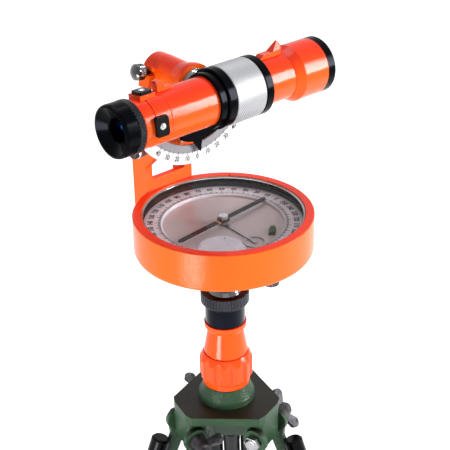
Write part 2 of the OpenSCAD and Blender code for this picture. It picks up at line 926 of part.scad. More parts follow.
// Saddle: a plate on the trunnion with a ring round the tube and the pointer of the arc
module saddle() {
  skirt_r = arc_in - 4;
  color("black")
  difference() {
    union() {
      translate([saddle_x, 0, axis_z])
        rotate([90, 0, 90])
          linear_extrude(height = saddle_t)
            union() {
              intersection() {
                circle(r = 13.5);
                translate([-14, -14])
                  square([28, 12]);
              }
              polygon(concat([[-13.3, -2]], [for (a = [244:4:272]) polar(skirt_r, a)],
                [[13.3, 3 - skirt_r], [24, -18], [band_y + band_l, -11], [band_y + band_l, 3],
                [20, 7], [11, 7]]));
            }
      translate([saddle_x - 1.4, 0, axis_z])
        rotate([90, 0, 90])
          linear_extrude(height = 3)
            polygon([[-5.6, -30], [1.6, -30], [1.6, 0.8 - skirt_r], [0.3, 1 - pointer_r],
              [0, -pointer_r], [-0.3, 1 - pointer_r], [-5.6, 1 - skirt_r]]);
      in_tube()
        translate([0, 0, focus_y - band_l - gap - 5])
          difference() {
            union() {
              cylinder(r = tube_r + 2, h = 5);
              translate([saddle_x, 3, 0])
                cube([10, 8, 5]);
            }
          }
      in_tube()
        translate([saddle_x, -2, band_y + 0.5])
          cube([8, 12, band_l - 1]);
    }
    in_tube()
      translate([0, 0, -40])
        cylinder(r = tube_r, h = 40);
    in_tube()
      translate([0, 0, band_y - 2])
        cylinder(r = focus_r, h = band_l + 4);
    translate([saddle_x - 4, 0, axis_z])
      rotate([0, 90, 0])
        cylinder(r = shaft_r, h = saddle_t + 5);
  }
}

// Main tube: bored through, with turned seams, the eyepiece spigot and the pad of the top cover
module tube_main() {
  color("orangered")
  difference() {
    union() {
      in_tube()
        rotate_extrude()
          polygon([[bore_r, -tube_back + 3], [spigot_r - 2, -tube_back], [spigot_r - 2, -tube_back - dioptre_l],
            [spigot_r, -tube_back - dioptre_l], [spigot_r, -tube_back], [tube_r - 1, -tube_back],
            [tube_r - 0.4, -tube_back + 0.6], [tube_r - 0.4, -tube_back + 7.9],
            [tube_r - 0.8, -tube_back + 8.1], [tube_r, -tube_back + 8.4],
            [tube_r, -tube_back + 19], [tube_r - 0.3, -tube_back + 19.2], [tube_r, -tube_back + 19.4],
            [tube_r, tube_front_y], [bore_r, tube_front_y]]);
      rolled()
        translate([-5.6, cover_y - 5.5, axis_z + bore_r + 0.5])
          cube([11.2, 11, tube_r + 1.5 - bore_r - 0.5]);
    }
    in_tube()
      translate([0, 0, -tube_back + 3])
        cylinder(r = bore_r, h = tube_back);
  }
}

// Front tube and bell
module tube_front() {
  color("orangered")
  in_tube()
    rotate_extrude()
      polygon([[bore_r, tube_front_y], [front_r, tube_front_y], [front_r, bell_y - 26.4],
        [front_r - 0.3, bell_y - 26.2], [front_r, bell_y - 26], [front_r + 0.6, bell_y - 25],
        [bell_r - 0.6, bell_y - 21], [bell_r, bell_y - 20], [bell_r, bell_y],
        [lens_r, bell_y], [lens_r, bell_y - 5], [bore_r + 1.5, bell_y - 5],
        [bore_r + 1.5, bell_y - 18], [bore_r, bell_y - 22]]);
}

// Focusing ring, turning on the main tube
module focus_ring() {
  color("lightgray")
  in_tube()
    rotate_extrude()
      polygon([[tube_r + play, focus_y], [focus_r - 0.4, focus_y], [focus_r, focus_y + 0.4],
        [focus_r, focus_y + focus_l - 0.4], [focus_r - 0.4, focus_y + focus_l],
        [tube_r + play, focus_y + focus_l]]);
}

module band(y0) {
  color("black")
  in_tube()
    rotate_extrude()
      polygon([[tube_r, y0], [focus_r - 0.5, y0], [focus_r, y0 + 0.5], [focus_r, y0 + band_l - 0.4],
        [focus_r - 0.4, y0 + band_l], [tube_r, y0 + band_l]]);
}

module band_rear() band(focus_y - gap - band_l);

module band_front() band(band_y);

module objective_ring() {
  color("black")
  in_tube()
    rotate_extrude()
      polygon([[lens_r - 1.2, bell_y], [bell_r, bell_y], [bell_r, bell_y + obj_l - 0.8],
        [bell_r - 0.8, bell_y + obj_l], [lens_r - 0.2, bell_y + obj_l], [lens_r - 1.2, bell_y + 2]]);
}

module objective_lens() {
  color("lightblue")
  in_tube()
    intersection() {
      translate([0, 0, bell_y - 5])
        cylinder(r = lens_r, h = 5);
      translate([0, 0, bell_y - 0.4 - 60])
        sphere(r = 60, $fn = 144);
    }
}

// Dioptre ring: turns and drives the eyecup in or out
module diopter_ring() {
  color("black")
  in_tube()
    rotate_extrude()
      polygon([[spigot_r + play, ring_y], [cup_r - 0.5, ring_y], [cup_r + 0.1, ring_y + 0.6],
        [cup_r + 0.1, ring_y + dioptre_l - 0.6], [cup_r - 0.5, ring_y + dioptre_l],
        [spigot_r + play, ring_y + dioptre_l]]);
}

// Eyecup with a dished face and a barrel that slides in the spigot
module eyecup() {
  color("black")
  in_tube()
    rotate_extrude()
      polygon([[cup_r - 1.8, cup_y], [cup_r - 0.5, cup_y + 0.5], [cup_r, cup_y + 1.8],
        [cup_r, cup_y + cup_l], [spigot_r - 2 - play, cup_y + cup_l],
        [spigot_r - 2 - play, ring_y + dioptre_l], [eye_r, ring_y + dioptre_l],
        [eye_r, cup_y + 4.8], [eye_r + 0.8, cup_y + 4]]);
}

module eye_lens() {
  color("steelblue")
  in_tube()
    intersection() {
      translate([0, 0, ring_y + 1])
        cylinder(r = eye_r, h = 3.5);
      translate([0, 0, ring_y + 1.2 + 18])
        sphere(r = 18, $fn = 96);
    }
}

// Covers of the reticle screws: one on top, one on each side
module cover_shape(w) {
  linear_extrude(height = 3.5)
    union() {
      square([w - 1.6, 9], center = true);
      square([w, 7.4], center = true);
    }
}

module reticle_covers() {
  color("black")
  difference() {
    rolled()
      union() {
        translate([0, cover_y, axis_z + tube_r + 1.5])
          linear_extrude(height = 1.8)
            union() {
              square([7.4, 9], center = true);
              square([9, 7.4], center = true);
            }
        for (side = [-1, 1])
          translate([side * (tube_r - 1.7), cover_y, axis_z])
            rotate([0, side * 90, 0])
              cover_shape(12);
      }
    in_tube()
      translate([0, 0, -tube_back])
        cylinder(r = tube_r, h = 30);
  }
}

module screw_head() {
  intersection() {
    cylinder(r = 2.1, h = 1);
    translate([0, 0, -2.4])
      sphere(r = 3.3);
  }
}

module cover_screws() {
  color("silver")
  rolled() {
    translate([0, cover_y, axis_z + tube_r + 3.3])
      screw_head();
    for (side = [-1, 1])
      translate([side * (tube_r + 1.8), cover_y, axis_z])
        rotate([0, side * 90, 0])
          screw_head();
  }
}

// Rear sight: a notched block with a low foot
module rear_sight() {
  color("orangered")
  difference() {
    rolled()
      difference() {
        translate([0, 0, axis_z + tube_r])
          rotate([90, 0, 90])
            linear_extrude(height = 5, center = true)
              polygon([[-49.6, -1], [-39.2, -1], [-39.2, 1.8], [-43.3, 1.8], [-45.8, 6], [-49.6, 6]]);
        translate([0, -53, axis_z + tube_r + 6.4])
          rotate([-90, 0, 0])
            rotate([0, 0, 45])
              cube([2.2, 2.2, 12]);
      }
    in_tube()
      translate([0, 0, -53])
        cylinder(r = tube_r, h = 20);
  }
}

// Front sight: a ramp that rises to a sharp ridge
module front_sight() {
  color("orangered")
  difference() {
    rolled()
      intersection() {
        translate([0, 0, axis_z + front_r])
          rotate([90, 0, 90])
            linear_extrude(height = 6, center = true)
              polygon([[30, -1], [49.4, -1], [50.2, 6.6], [48.4, 8.3], [42.5, 2.6], [34.5, 2.4]]);
        translate([0, 0, axis_z + front_r])
          across(200)
            polygon([[-3, -2], [3, -2], [3, 2.8], [0.4, 8.6], [-0.4, 8.6], [-3, 2.8]]);
      }
    in_tube()
      translate([0, 0, 20])
        cylinder(r = front_r, h = 40);
  }
}

// Level tube: a capped case with a window for the vial, plugged into the side of the standard
module level_tube() {
  color("silver")
  difference() {
    translate([level_x, -std_w / 2 - 1 - level_l, level_z])
      rotate([-90, 0, 0])
        rotate_extrude()
          polygon([[0, 0], [level_r - 1, 0], [level_r - 0.4, 0.6], [level_r - 0.4, 3.2],
            [level_r, 3.5], [level_r, 5.6], [level_r - 0.4, 6], [level_r - 0.4, level_l],
            [level_r - 1, level_l], [level_r - 1, level_l + 8], [0, level_l + 8]]);
    // window over the vial
    translate([level_x - 2.4, -std_w / 2 - 1 - level_l + 8, level_z + level_r - 1.4])
      cube([4.8, level_l - 12, 2]);
  }
}

for (i = [0:2]) {
  s = ["a", "b", "c"][i];
  leg_top(i);
  leg_tubes(i);
  leg_clamp(i);
  leg_slide(i);
  hinge_nut(i);
  slide_screw(i);
}
tripod_head();
head_screw();
pivot_bolts();
mount_nut();
neck_cone();
ball_socket();
clamp_ring();
tilt_ball();
ball_stem();
azimuth_hub();
azimuth_screw();
compass_box();
standard();
bezel_ring();
cover_glass();
dial_ring();
dial_plate();
needle();
needle_pivot();
lifter();
lift_knob();
box_vial();
round_plate();
trunnion_shaft();
tilt_screw();
arc_plate();
saddle();
tube_main();
tube_front();
focus_ring();
band_rear();
band_front();
objective_ring();
objective_lens();
diopter_ring();
eyecup();
eye_lens();
reticle_covers();
cover_screws();
rear_sight();
front_sight();
level_tube();
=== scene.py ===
import bpy
import math
from mathutils import Matrix, Vector


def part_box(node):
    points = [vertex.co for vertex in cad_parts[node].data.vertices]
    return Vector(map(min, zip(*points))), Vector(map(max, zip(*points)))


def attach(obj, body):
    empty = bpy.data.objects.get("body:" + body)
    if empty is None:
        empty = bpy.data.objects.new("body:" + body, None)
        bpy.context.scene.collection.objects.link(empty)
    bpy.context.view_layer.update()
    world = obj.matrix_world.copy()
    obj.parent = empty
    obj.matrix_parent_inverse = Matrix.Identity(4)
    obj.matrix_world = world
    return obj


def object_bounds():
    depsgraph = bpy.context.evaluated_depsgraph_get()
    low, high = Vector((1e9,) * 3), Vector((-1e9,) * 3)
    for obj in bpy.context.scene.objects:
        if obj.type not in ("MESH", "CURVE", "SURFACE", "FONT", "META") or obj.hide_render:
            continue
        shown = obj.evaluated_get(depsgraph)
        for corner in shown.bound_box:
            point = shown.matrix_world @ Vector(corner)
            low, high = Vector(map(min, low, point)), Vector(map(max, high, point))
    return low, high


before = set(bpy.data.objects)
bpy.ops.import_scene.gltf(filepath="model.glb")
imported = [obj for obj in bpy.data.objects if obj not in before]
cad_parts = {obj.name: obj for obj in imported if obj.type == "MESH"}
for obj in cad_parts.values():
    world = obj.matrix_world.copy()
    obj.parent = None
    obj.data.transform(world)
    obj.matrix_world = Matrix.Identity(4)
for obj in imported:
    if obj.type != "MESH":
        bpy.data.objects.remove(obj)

cad_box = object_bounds()


# Camera.
# It stands behind and to the right of the eyepiece, looking down on the compass box.
# Its place and lens come from the rim of the box, the dial and the telescope in the photograph.
def placed(right, up, facing, spot):
    """A matrix that turns X, Y and Z into three directions and moves the origin to a spot."""
    return Matrix((
        (right.x, up.x, facing.x, spot.x),
        (right.y, up.y, facing.y, spot.y),
        (right.z, up.z, facing.z, spot.z),
        (0.0, 0.0, 0.0, 1.0)))


camera_data = bpy.data.cameras.new("camera")
camera_data.sensor_width = 36.0
camera_data.lens = 87.3
camera_data.clip_start = 0.01
camera = bpy.data.objects.new("camera", camera_data)
bpy.context.scene.collection.objects.link(camera)
camera_right = Vector((0.66387719, 0.74767587, -0.01574385))
camera_up = Vector((-0.34145888, 0.32178398, 0.88309733))
camera_back = Vector((0.66533669, -0.5808923, 0.46892561))
camera_spot = Vector((0.47326, -0.41196, 0.48877))
camera.matrix_world = placed(camera_right, camera_up, camera_back, camera_spot)
bpy.context.scene.camera = camera


# Studio.
# A white floor under the tripod's points and a pale room. Both look white to the camera, and
# to the metal and glass that mirror them. Near the legs the floor glows less than far away, so
# that their shadow shows.
def feed(tree, node, feeds):
    """Fills a node's inputs, each from a plain value, an output or a node's first output."""
    for label, source in feeds.items():
        if isinstance(source, bpy.types.Node):
            source = source.outputs[0]
        if isinstance(source, bpy.types.NodeSocket):
            tree.links.new(source, node.inputs[label])
        else:
            node.inputs[label].default_value = source


def tree_node(tree, kind, feeds=None, **settings):
    made = tree.nodes.new("ShaderNode" + kind)
    for key, value in settings.items():
        setattr(made, key, value)
    feed(tree, made, feeds or {})
    return made


def maths(tree, operation, *values):
    return tree_node(tree, "Math", dict(enumerate(values)), operation=operation)


def bare_material(name):
    material = bpy.data.materials.new(name)
    material.use_nodes = True
    material.node_tree.nodes.clear()
    return material, material.node_tree


def white_to_eye(tree):
    """1 where the camera, a mirror or a glass looks at this surface, and 0 for its light."""
    rays = tree_node(tree, "LightPath").outputs
    seen = maths(tree, "MAXIMUM", rays["Is Camera Ray"], rays["Is Transmission Ray"])
    return maths(tree, "MAXIMUM", seen, rays["Is Glossy Ray"])


def add_room():
    scene = bpy.context.scene
    scene.view_settings.view_transform = "Standard"
    scene.world = bpy.data.worlds.new("room")
    scene.world.use_nodes = True
    tree = scene.world.node_tree
    tree.nodes.clear()
    room = tree_node(tree, "Background", {"Color": (0.93, 0.96, 1.0, 1.0), "Strength": 0.32})
    white = tree_node(tree, "Background", {"Color": (1.0, 1.0, 1.0, 1.0), "Strength": 1.0})
    mix = tree_node(tree, "MixShader", {0: white_to_eye(tree), 1: room, 2: white})
    tree_node(tree, "OutputWorld", {"Surface": mix})


def add_floor():
    below_the_points = cad_box[0].z - 0.0002
    bpy.ops.object.select_all(action="DESELECT")
    bpy.ops.mesh.primitive_plane_add(size=12.0, location=(0.0, 0.0, below_the_points))
    floor = bpy.context.active_object
    floor.name = "studio_floor"
    material, tree = bare_material("studio_white")
    paper = tree_node(tree, "BsdfDiffuse", {"Color": (0.8, 0.8, 0.8, 1.0)})
    place = tree_node(tree, "TexCoord").outputs["Object"]
    away = tree_node(tree, "VectorMath", {0: place}, operation="LENGTH")
    rise = tree_node(tree, "MapRange", {
        "Value": away.outputs["Value"], "From Min": 0.2, "From Max": 0.9,
        "To Min": 0.36, "To Max": 0.86}, interpolation_type="SMOOTHSTEP")
    strength = maths(tree, "MULTIPLY", white_to_eye(tree), rise)
    glow = tree_node(tree, "Emission", {"Strength": strength})
    both = tree_node(tree, "AddShader", {0: paper, 1: glow})
    tree_node(tree, "OutputMaterial", {"Surface": both})
    floor.data.materials.append(material)


def add_softbox(name, bearing, height, distance, width, tall, power):
    """A lamp at a bearing in degrees from +X, at a height, turned towards the instrument."""
    lamp = bpy.data.lights.new(name, "AREA")
    lamp.shape = "RECTANGLE"
    lamp.size = width
    lamp.size_y = tall
    lamp.energy = power
    made = bpy.data.objects.new(name, lamp)
    bpy.context.scene.collection.objects.link(made)
    turn = math.radians(bearing)
    made.location = (distance * math.cos(turn), distance * math.sin(turn), height)
    aim = Vector((0.0, 0.0, 0.2)) - made.location
    made.rotation_euler = aim.to_track_quat("-Z", "Y").to_euler()


add_room()
add_floor()
add_softbox("softbox_right", 42.0, 0.55, 1.25, 0.34, 0.7, 25.0)
add_softbox("softbox_left", -79.0, -0.12, 0.85, 0.3, 0.36, 8.0)
add_softbox("softbox_front", -35.0, 0.45, 1.7, 1.2, 0.9, 3.0)
add_softbox("softbox_top", 150.0, 1.5, 0.4, 0.9, 0.9, 9.0)


# Tripod head.
# One aluminium casting with a raised boss and three hinge lugs, sprayed a greyed green. On top it
# is painted nearly black, a painted shade. Steel bolts through the lugs carry the legs.
def new_group(name, inputs, outputs=("Color", "Roughness", "Height")):
    """An empty effect group. An input is a number, a vector or a colour, as its value is."""
    group = bpy.data.node_groups.new(name, "ShaderNodeTree")
    for label, value in inputs.items():
        kind = "Float" if isinstance(value, float) else {3: "Vector", 4: "Color"}[len(value)]
        socket = group.interface.new_socket(
            name=label, in_out="INPUT", socket_type="NodeSocket" + kind)
        socket.default_value = value
    for label in outputs:
        kind = "Color" if label == "Color" else "Float"
        group.interface.new_socket(name=label, in_out="OUTPUT", socket_type="NodeSocket" + kind)
    return group, group.nodes.new("NodeGroupInput").outputs, group.nodes.new("NodeGroupOutput")


def mixed(tree, factor, first, second, data_type="RGBA", **settings):
    """A mix of two colours, or of two numbers where the data type is FLOAT."""
    settings["data_type"] = data_type
    feeds = {"Factor": factor, "A": first, "B": second}
    return tree_node(tree, "Mix", feeds, **settings).outputs["Result"]


def noise(tree, place, scale, detail=2.0):
    return tree_node(tree, "TexNoise", {
        "Vector": place, "Scale": scale, "Detail": detail}).outputs["Fac"]


def mottled(tree, colour, value, darkest, lightest):
    """A colour that grows darker and lighter with a value from 0 to 1."""
    shade = tree_node(tree, "MapRange", {"Value": value, "To Min": darkest, "To Max": lightest})
    return tree_node(tree, "HueSaturation", {"Value": shade, "Color": colour})


def paint_skin_group():
    """Sprayed paint with orange peel, and painted shading: faces that look up get their own tone,
    for how light falls on them.
    """
    group, given, out = new_group("paint_and_shading", {
        "Side Colour": (1.0, 0.2, 0.03, 1.0), "Top Colour With Painted Shading": (0.8, 0.03, 0.01, 1.0),
        "Top From": 0.05, "Peel Size": 900.0, "Speckle": 0.0, "Gloss": 0.3})
    place = tree_node(group, "TexCoord").outputs
    facing = tree_node(group, "SeparateXYZ", {0: place["Normal"]}).outputs
    # painted shading: the top tone stands for how light falls on faces that look up
    painted_top_shading = tree_node(group, "MapRange", {
        "Value": facing["Z"], "From Min": given["Top From"], "From Max": 0.95},
        interpolation_type="SMOOTHSTEP")
    cloud = noise(group, place["Object"], 60.0, 4.0)
    shade = tree_node(group, "MapRange", {"Value": cloud, "To Min": 0.93, "To Max": 1.06})
    peel = noise(group, place["Object"], given["Peel Size"])
    centred = maths(group, "SUBTRACT", peel, 0.5)
    tone = tree_node(group, "HueSaturation", {
        "Value": maths(group, "MULTIPLY_ADD", centred, given["Speckle"], shade),
        "Color": mixed(group, painted_top_shading, given["Side Colour"], given["Top Colour With Painted Shading"])})
    feed(group, out, {
        "Color": tone,
        "Roughness": maths(group, "MULTIPLY_ADD", cloud, 0.12, given["Gloss"]),
        "Height": peel})
    return group


def surface_material(name, group, values, bump=0.1, bump_depth=0.0001, edge=0.0004, **sockets):
    """A Principled surface fed by one effect group. Sharp edges are softened to a small radius."""
    material, tree = bare_material(name)
    effect = tree_node(tree, "Group", values, node_tree=group)
    softened = tree_node(tree, "Bevel", {"Radius": edge}, samples=4)
    relief = tree_node(tree, "Bump", {
        "Strength": bump, "Distance": bump_depth,
        "Height": effect.outputs["Height"], "Normal": softened})
    shader = tree_node(tree, "BsdfPrincipled", {
        "Base Color": effect.outputs["Color"], "Roughness": effect.outputs["Roughness"],
        "Normal": relief})
    feed(tree, shader, {label.replace("_", " "): value for label, value in sockets.items()})
    tree_node(tree, "OutputMaterial", {"Surface": shader})
    return material


def dress(material, *names):
    for name in names:
        for part_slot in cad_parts[name].material_slots:
            part_slot.material = material


paint_and_shading = paint_skin_group()
# the near-black top colour is painted shade on faces that look up
green_paint = surface_material("green_paint", paint_and_shading, {
    "Side Colour": (0.026, 0.062, 0.030, 1.0), "Top Colour With Painted Shading": (0.010, 0.011, 0.006, 1.0),
    "Top From": 0.45, "Peel Size": 900.0, "Speckle": 0.8, "Gloss": 0.26},
    bump=0.7, bump_depth=0.0004, edge=0.0009, Specular_IOR_Level=0.2)
dress(green_paint, "tripod_head")


def turned_metal_group():
    """Fine rings left by the lathe round one axis, and faint smudges of handling."""
    group, given, out = new_group("turned_metal", {
        "Colour": (0.8, 0.8, 0.8, 1.0), "Axis Point": (0.0, 0.0, 0.0),
        "Axis Way": (0.0, 0.0, 1.0), "Ring Pitch": 2500.0, "Gloss": 0.1, "Haze": 0.1})
    place = tree_node(group, "TexCoord").outputs["Object"]
    away = tree_node(group, "VectorMath", {0: place, 1: given["Axis Point"]}, operation="SUBTRACT")
    along = tree_node(group, "VectorMath", {
        0: away, 1: given["Axis Way"]}, operation="DOT_PRODUCT")
    across = tree_node(group, "VectorMath", {
        0: away, 1: given["Axis Way"]}, operation="CROSS_PRODUCT")
    radius = tree_node(group, "VectorMath", {0: across}, operation="LENGTH")
    ring_place = tree_node(group, "CombineXYZ", {
        "X": along.outputs["Value"], "Y": radius.outputs["Value"]})
    smudge = noise(group, place, 110.0, 5.0)
    feed(group, out, {
        "Color": mottled(group, given["Colour"], smudge, 0.8, 1.15),
        "Roughness": maths(group, "MULTIPLY_ADD", smudge, given["Haze"], given["Gloss"]),
        "Height": noise(group, ring_place, given["Ring Pitch"], 3.0)})
    return group


turned_metal = turned_metal_group()
bolt_steel = surface_material("bolt_steel", turned_metal, {
    "Colour": (0.33, 0.33, 0.34, 1.0), "Gloss": 0.12, "Haze": 0.15},
    bump=0.06, bump_depth=0.00005, Metallic=1.0)
dress(bolt_steel, "pivot_bolts")
blackened_steel = surface_material("blackened_steel", turned_metal, {
    "Colour": (0.010, 0.008, 0.006, 1.0), "Gloss": 0.45, "Haze": 0.1},
    bump=0.06, bump_depth=0.00005, Specular_IOR_Level=0.05)
dress(blackened_steel, "head_screw")


# Legs.
# Green castings top and bottom hold two black enamelled tubes each, with a dark anodised
# tube sliding between them. Wing nuts and wing screws are cast and left rough.
# the leg castings carry the same painted shade on faces that look up
dress(green_paint, "leg_top_a", "leg_top_b", "leg_top_c",
      "leg_clamp_a", "leg_clamp_b", "leg_clamp_c")
leg_enamel = surface_material("leg_enamel", paint_and_shading, {
    "Side Colour": (0.003, 0.003, 0.004, 1.0), "Top Colour With Painted Shading": (0.004, 0.004, 0.005, 1.0),
    "Peel Size": 500.0, "Gloss": 0.16}, bump=0.15, Specular_IOR_Level=0.08)
dress(leg_enamel, "leg_tubes_a", "leg_tubes_b", "leg_tubes_c")


def drawn_metal_group():
    """Lines drawn along a tube by its die, over a faint mottle."""
    group, given, out = new_group("drawn_metal", {
        "Colour": (0.8, 0.8, 0.8, 1.0), "Tube Way": (0.0, 0.0, 1.0),
        "Line Pitch": 1500.0, "Gloss": 0.3})
    place = tree_node(group, "TexCoord").outputs["Object"]
    across = tree_node(group, "VectorMath", {
        0: place, 1: given["Tube Way"]}, operation="CROSS_PRODUCT")
    lines = noise(group, across, given["Line Pitch"], 3.0)
    feed(group, out, {
        "Color": mottled(group, given["Colour"], noise(group, place, 140.0, 4.0), 0.85, 1.1),
        "Roughness": maths(group, "MULTIPLY_ADD", lines, 0.14, given["Gloss"]),
        "Height": lines})
    return group


drawn_metal = drawn_metal_group()
lean = math.radians(20.0)
for leg, bearing in (("a", 256.3), ("b", 16.3), ("c", 136.3)):
    turn = math.radians(bearing)
    way = (math.sin(lean) * math.cos(turn), math.sin(lean) * math.sin(turn), -math.cos(lean))
    leg_anodised = surface_material("leg_anodised_" + leg, drawn_metal, {
        "Colour": (0.030, 0.030, 0.034, 1.0), "Tube Way": way, "Gloss": 0.3},
        bump=0.2, bump_depth=0.00006, Metallic=0.5, Specular_IOR_Level=0.1)
    dress(leg_anodised, "leg_slide_" + leg)


def cast_skin_group():
    """The grained skin of a small casting, darker in its hollows."""
    group, given, out = new_group("cast_skin", {
        "Colour": (0.4, 0.4, 0.4, 1.0), "Hollow Colour": (0.1, 0.1, 0.1, 1.0),
        "Grain": 700.0, "Gloss": 0.35})
    place = tree_node(group, "TexCoord").outputs["Object"]
    grain = noise(group, place, given["Grain"], 5.0)
    spread = tree_node(group, "MapRange", {
        "Value": noise(group, place, 220.0, 3.0), "From Min": 0.3, "From Max": 0.7})
    feed(group, out, {
        "Color": mixed(group, spread, given["Hollow Colour"], given["Colour"]),
        "Roughness": maths(group, "MULTIPLY_ADD", grain, 0.25, given["Gloss"]),
        "Height": grain})
    return group


cast_skin = cast_skin_group()
wing_casting = surface_material("wing_casting", cast_skin, {
    "Colour": (0.085, 0.083, 0.090, 1.0), "Hollow Colour": (0.022, 0.020, 0.022, 1.0),
    "Grain": 900.0, "Gloss": 0.28}, bump=0.4, bump_depth=0.00025, Metallic=0.9)
dress(wing_casting, "hinge_nut_a", "hinge_nut_b", "hinge_nut_c",
      "slide_screw_a", "slide_screw_b", "slide_screw_c")


# Head nut and neck.
# A fluted nut holds the turned neck cone down on the boss. Both are aluminium under thick
# stoved orange paint with a fine orange-peel skin, painted deeper and redder where it faces up: a
# painted shade.
orange_paint = surface_material("orange_paint", paint_and_shading, {
    "Side Colour": (0.90, 0.092, 0.006, 1.0), "Top Colour With Painted Shading": (0.80, 0.028, 0.003, 1.0),
    "Top From": 0.05, "Peel Size": 1100.0, "Gloss": 0.1},
    bump=0.25, bump_depth=0.00012, Specular_IOR_Level=0.2)
dress(orange_paint, "neck_cone")
nut_paint = surface_material("nut_paint", paint_and_shading, {
    "Side Colour": (0.88, 0.076, 0.004, 1.0), "Top Colour With Painted Shading": (0.80, 0.028, 0.003, 1.0),
    "Top From": 0.3, "Peel Size": 1100.0, "Gloss": 0.1},
    bump=0.25, bump_depth=0.00012, edge=0.0009, Specular_IOR_Level=0.22)
dress(nut_paint, "mount_nut")


# Ball joint.
# A polished socket is pressed into the neck, and a knurled ring clamps the chromed ball in it.
# All of it is turned steel under bright chrome. Its colour is made dark, a painted reflection of
# dark surroundings beside its highlights.
socket_chrome = surface_material("socket_chrome", turned_metal, {
    "Colour": (0.009, 0.010, 0.015, 1.0), "Gloss": 0.07, "Haze": 0.1},
    bump=0.03, bump_depth=0.00003, Metallic=1.0)
dress(socket_chrome, "ball_socket")
ring_chrome = surface_material("ring_chrome", turned_metal, {
    "Colour": (0.036, 0.037, 0.044, 1.0), "Gloss": 0.06, "Haze": 0.1},
    bump=0.05, bump_depth=0.00004, Metallic=1.0)
dress(ring_chrome, "clamp_ring")


def node_of(material, kind):
    return next(n for n in material.node_tree.nodes if n.bl_idname == "ShaderNode" + kind)


def chrome_material(name, facing_reflection_tone, edge_reflection_tone, gloss=0.06,
                    point=(0.0, 0.0, 0.0), way=(0.0, 0.0, 1.0)):
    """Bright plating with a painted reflection: its colour is dark in the middle and pale at the
    edges, as a curved mirror shows a pale room.
    """
    material = surface_material(name, turned_metal, {
        "Gloss": gloss, "Haze": 0.08, "Axis Point": point, "Axis Way": way},
        bump=0.03, bump_depth=0.00003, Metallic=1.0)
    tree = material.node_tree
    edge = tree_node(tree, "LayerWeight", {"Blend": 0.42})
    painted_reflection = mixed(tree, edge.outputs["Facing"], facing_reflection_tone, edge_reflection_tone)
    smudges = node_of(material, "Group").outputs["Color"]
    feed(tree, node_of(material, "BsdfPrincipled"), {
        "Base Color": mixed(tree, 0.6, painted_reflection, smudges, blend_type="MULTIPLY")})
    return material


ball_chrome = chrome_material("ball_chrome", (0.12, 0.115, 0.12, 1.0), (0.5, 0.49, 0.51, 1.0))
dress(ball_chrome, "tilt_ball", "ball_stem")


# Azimuth hub.
# The painted hub turns on the ball's stem and carries the compass box. A small knurled
# chrome screw in its side locks it.
# the hub's faces that look up are painted deeper and redder, a painted shade
dress(orange_paint, "azimuth_hub")
# the knob chrome's colour holds a painted reflection, dark in the middle and pale at the edges
knob_chrome = chrome_material(
    "knob_chrome", (0.05, 0.05, 0.053, 1.0), (0.26, 0.26, 0.27, 1.0), gloss=0.1)
dress(knob_chrome, "azimuth_screw", "lift_knob")


# Compass box.
# A drum turned from one aluminium billet, orange outside, painted deeper and redder where it faces
# up:
# a painted shade. Inside its well, from the dial up to the seat of the glass, it is coloured near
# black.
def between(tree, value, low, high):
    """1 where a value lies between two limits, and 0 elsewhere."""
    above = maths(tree, "GREATER_THAN", value, low)
    return maths(tree, "MULTIPLY", above, maths(tree, "LESS_THAN", value, high))


def well_mask_group():
    """1 on the wall and floor of the well: inside a radius and between two heights."""
    group, given, out = new_group("well_mask", {"Radius": 0.05, "Low": 0.0, "High": 1.0}, ["Fac"])
    place = tree_node(group, "TexCoord").outputs["Object"]
    parts = tree_node(group, "SeparateXYZ", {0: place}).outputs
    flat = tree_node(group, "CombineXYZ", {"X": parts["X"], "Y": parts["Y"]})
    radius = tree_node(group, "VectorMath", {0: flat}, operation="LENGTH")
    inside = maths(group, "LESS_THAN", radius.outputs["Value"], given["Radius"])
    level = between(group, parts["Z"], given["Low"], given["High"])
    feed(group, out, {"Fac": maths(group, "MULTIPLY", inside, level)})
    return group


def second_finish(material, mask_group, limits, **finish):
    """Gives part of a piece a second finish, where the mask group puts out 1."""
    tree = material.node_tree
    shader = node_of(material, "BsdfPrincipled")
    mask = tree_node(tree, "Group", limits, node_tree=mask_group)
    for key, value in finish.items():
        socket = shader.inputs[key.replace("_", " ")]
        first = socket.links[0].from_socket if socket.is_linked else socket.default_value
        kind = "FLOAT" if isinstance(value, float) else "RGBA"
        tree.links.new(mixed(tree, mask, first, value, data_type=kind), socket)


well_mask = well_mask_group()
box_paint = surface_material("box_paint", paint_and_shading, {
    "Side Colour": (0.90, 0.125, 0.006, 1.0), "Top Colour With Painted Shading": (0.80, 0.028, 0.003, 1.0),
    "Top From": 0.05, "Peel Size": 700.0, "Gloss": 0.14},
    bump=0.8, bump_depth=0.0003, edge=0.0006, Specular_IOR_Level=0.2)
dark_well_radius = 0.0536
dark_well_foot = 0.142
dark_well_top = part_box("cover_glass")[1].z + 0.0002
second_finish(box_paint, well_mask, {
    "Radius": dark_well_radius, "Low": dark_well_foot, "High": dark_well_top},
    Base_Color=(0.003, 0.0025, 0.003, 1.0), Roughness=0.85)
dress(box_paint, "compass_box")


# Bezel and cover glass.
# A flat disc of clear plate glass rests on its seat in the box, held by a sprung bezel
# ring of chromed steel.
bezel_chrome = surface_material("bezel_chrome", turned_metal, {
    "Colour": (0.36, 0.355, 0.37, 1.0), "Gloss": 0.1, "Haze": 0.12},
    bump=0.05, bump_depth=0.00003, Metallic=1.0)
dress(bezel_chrome, "bezel_ring")


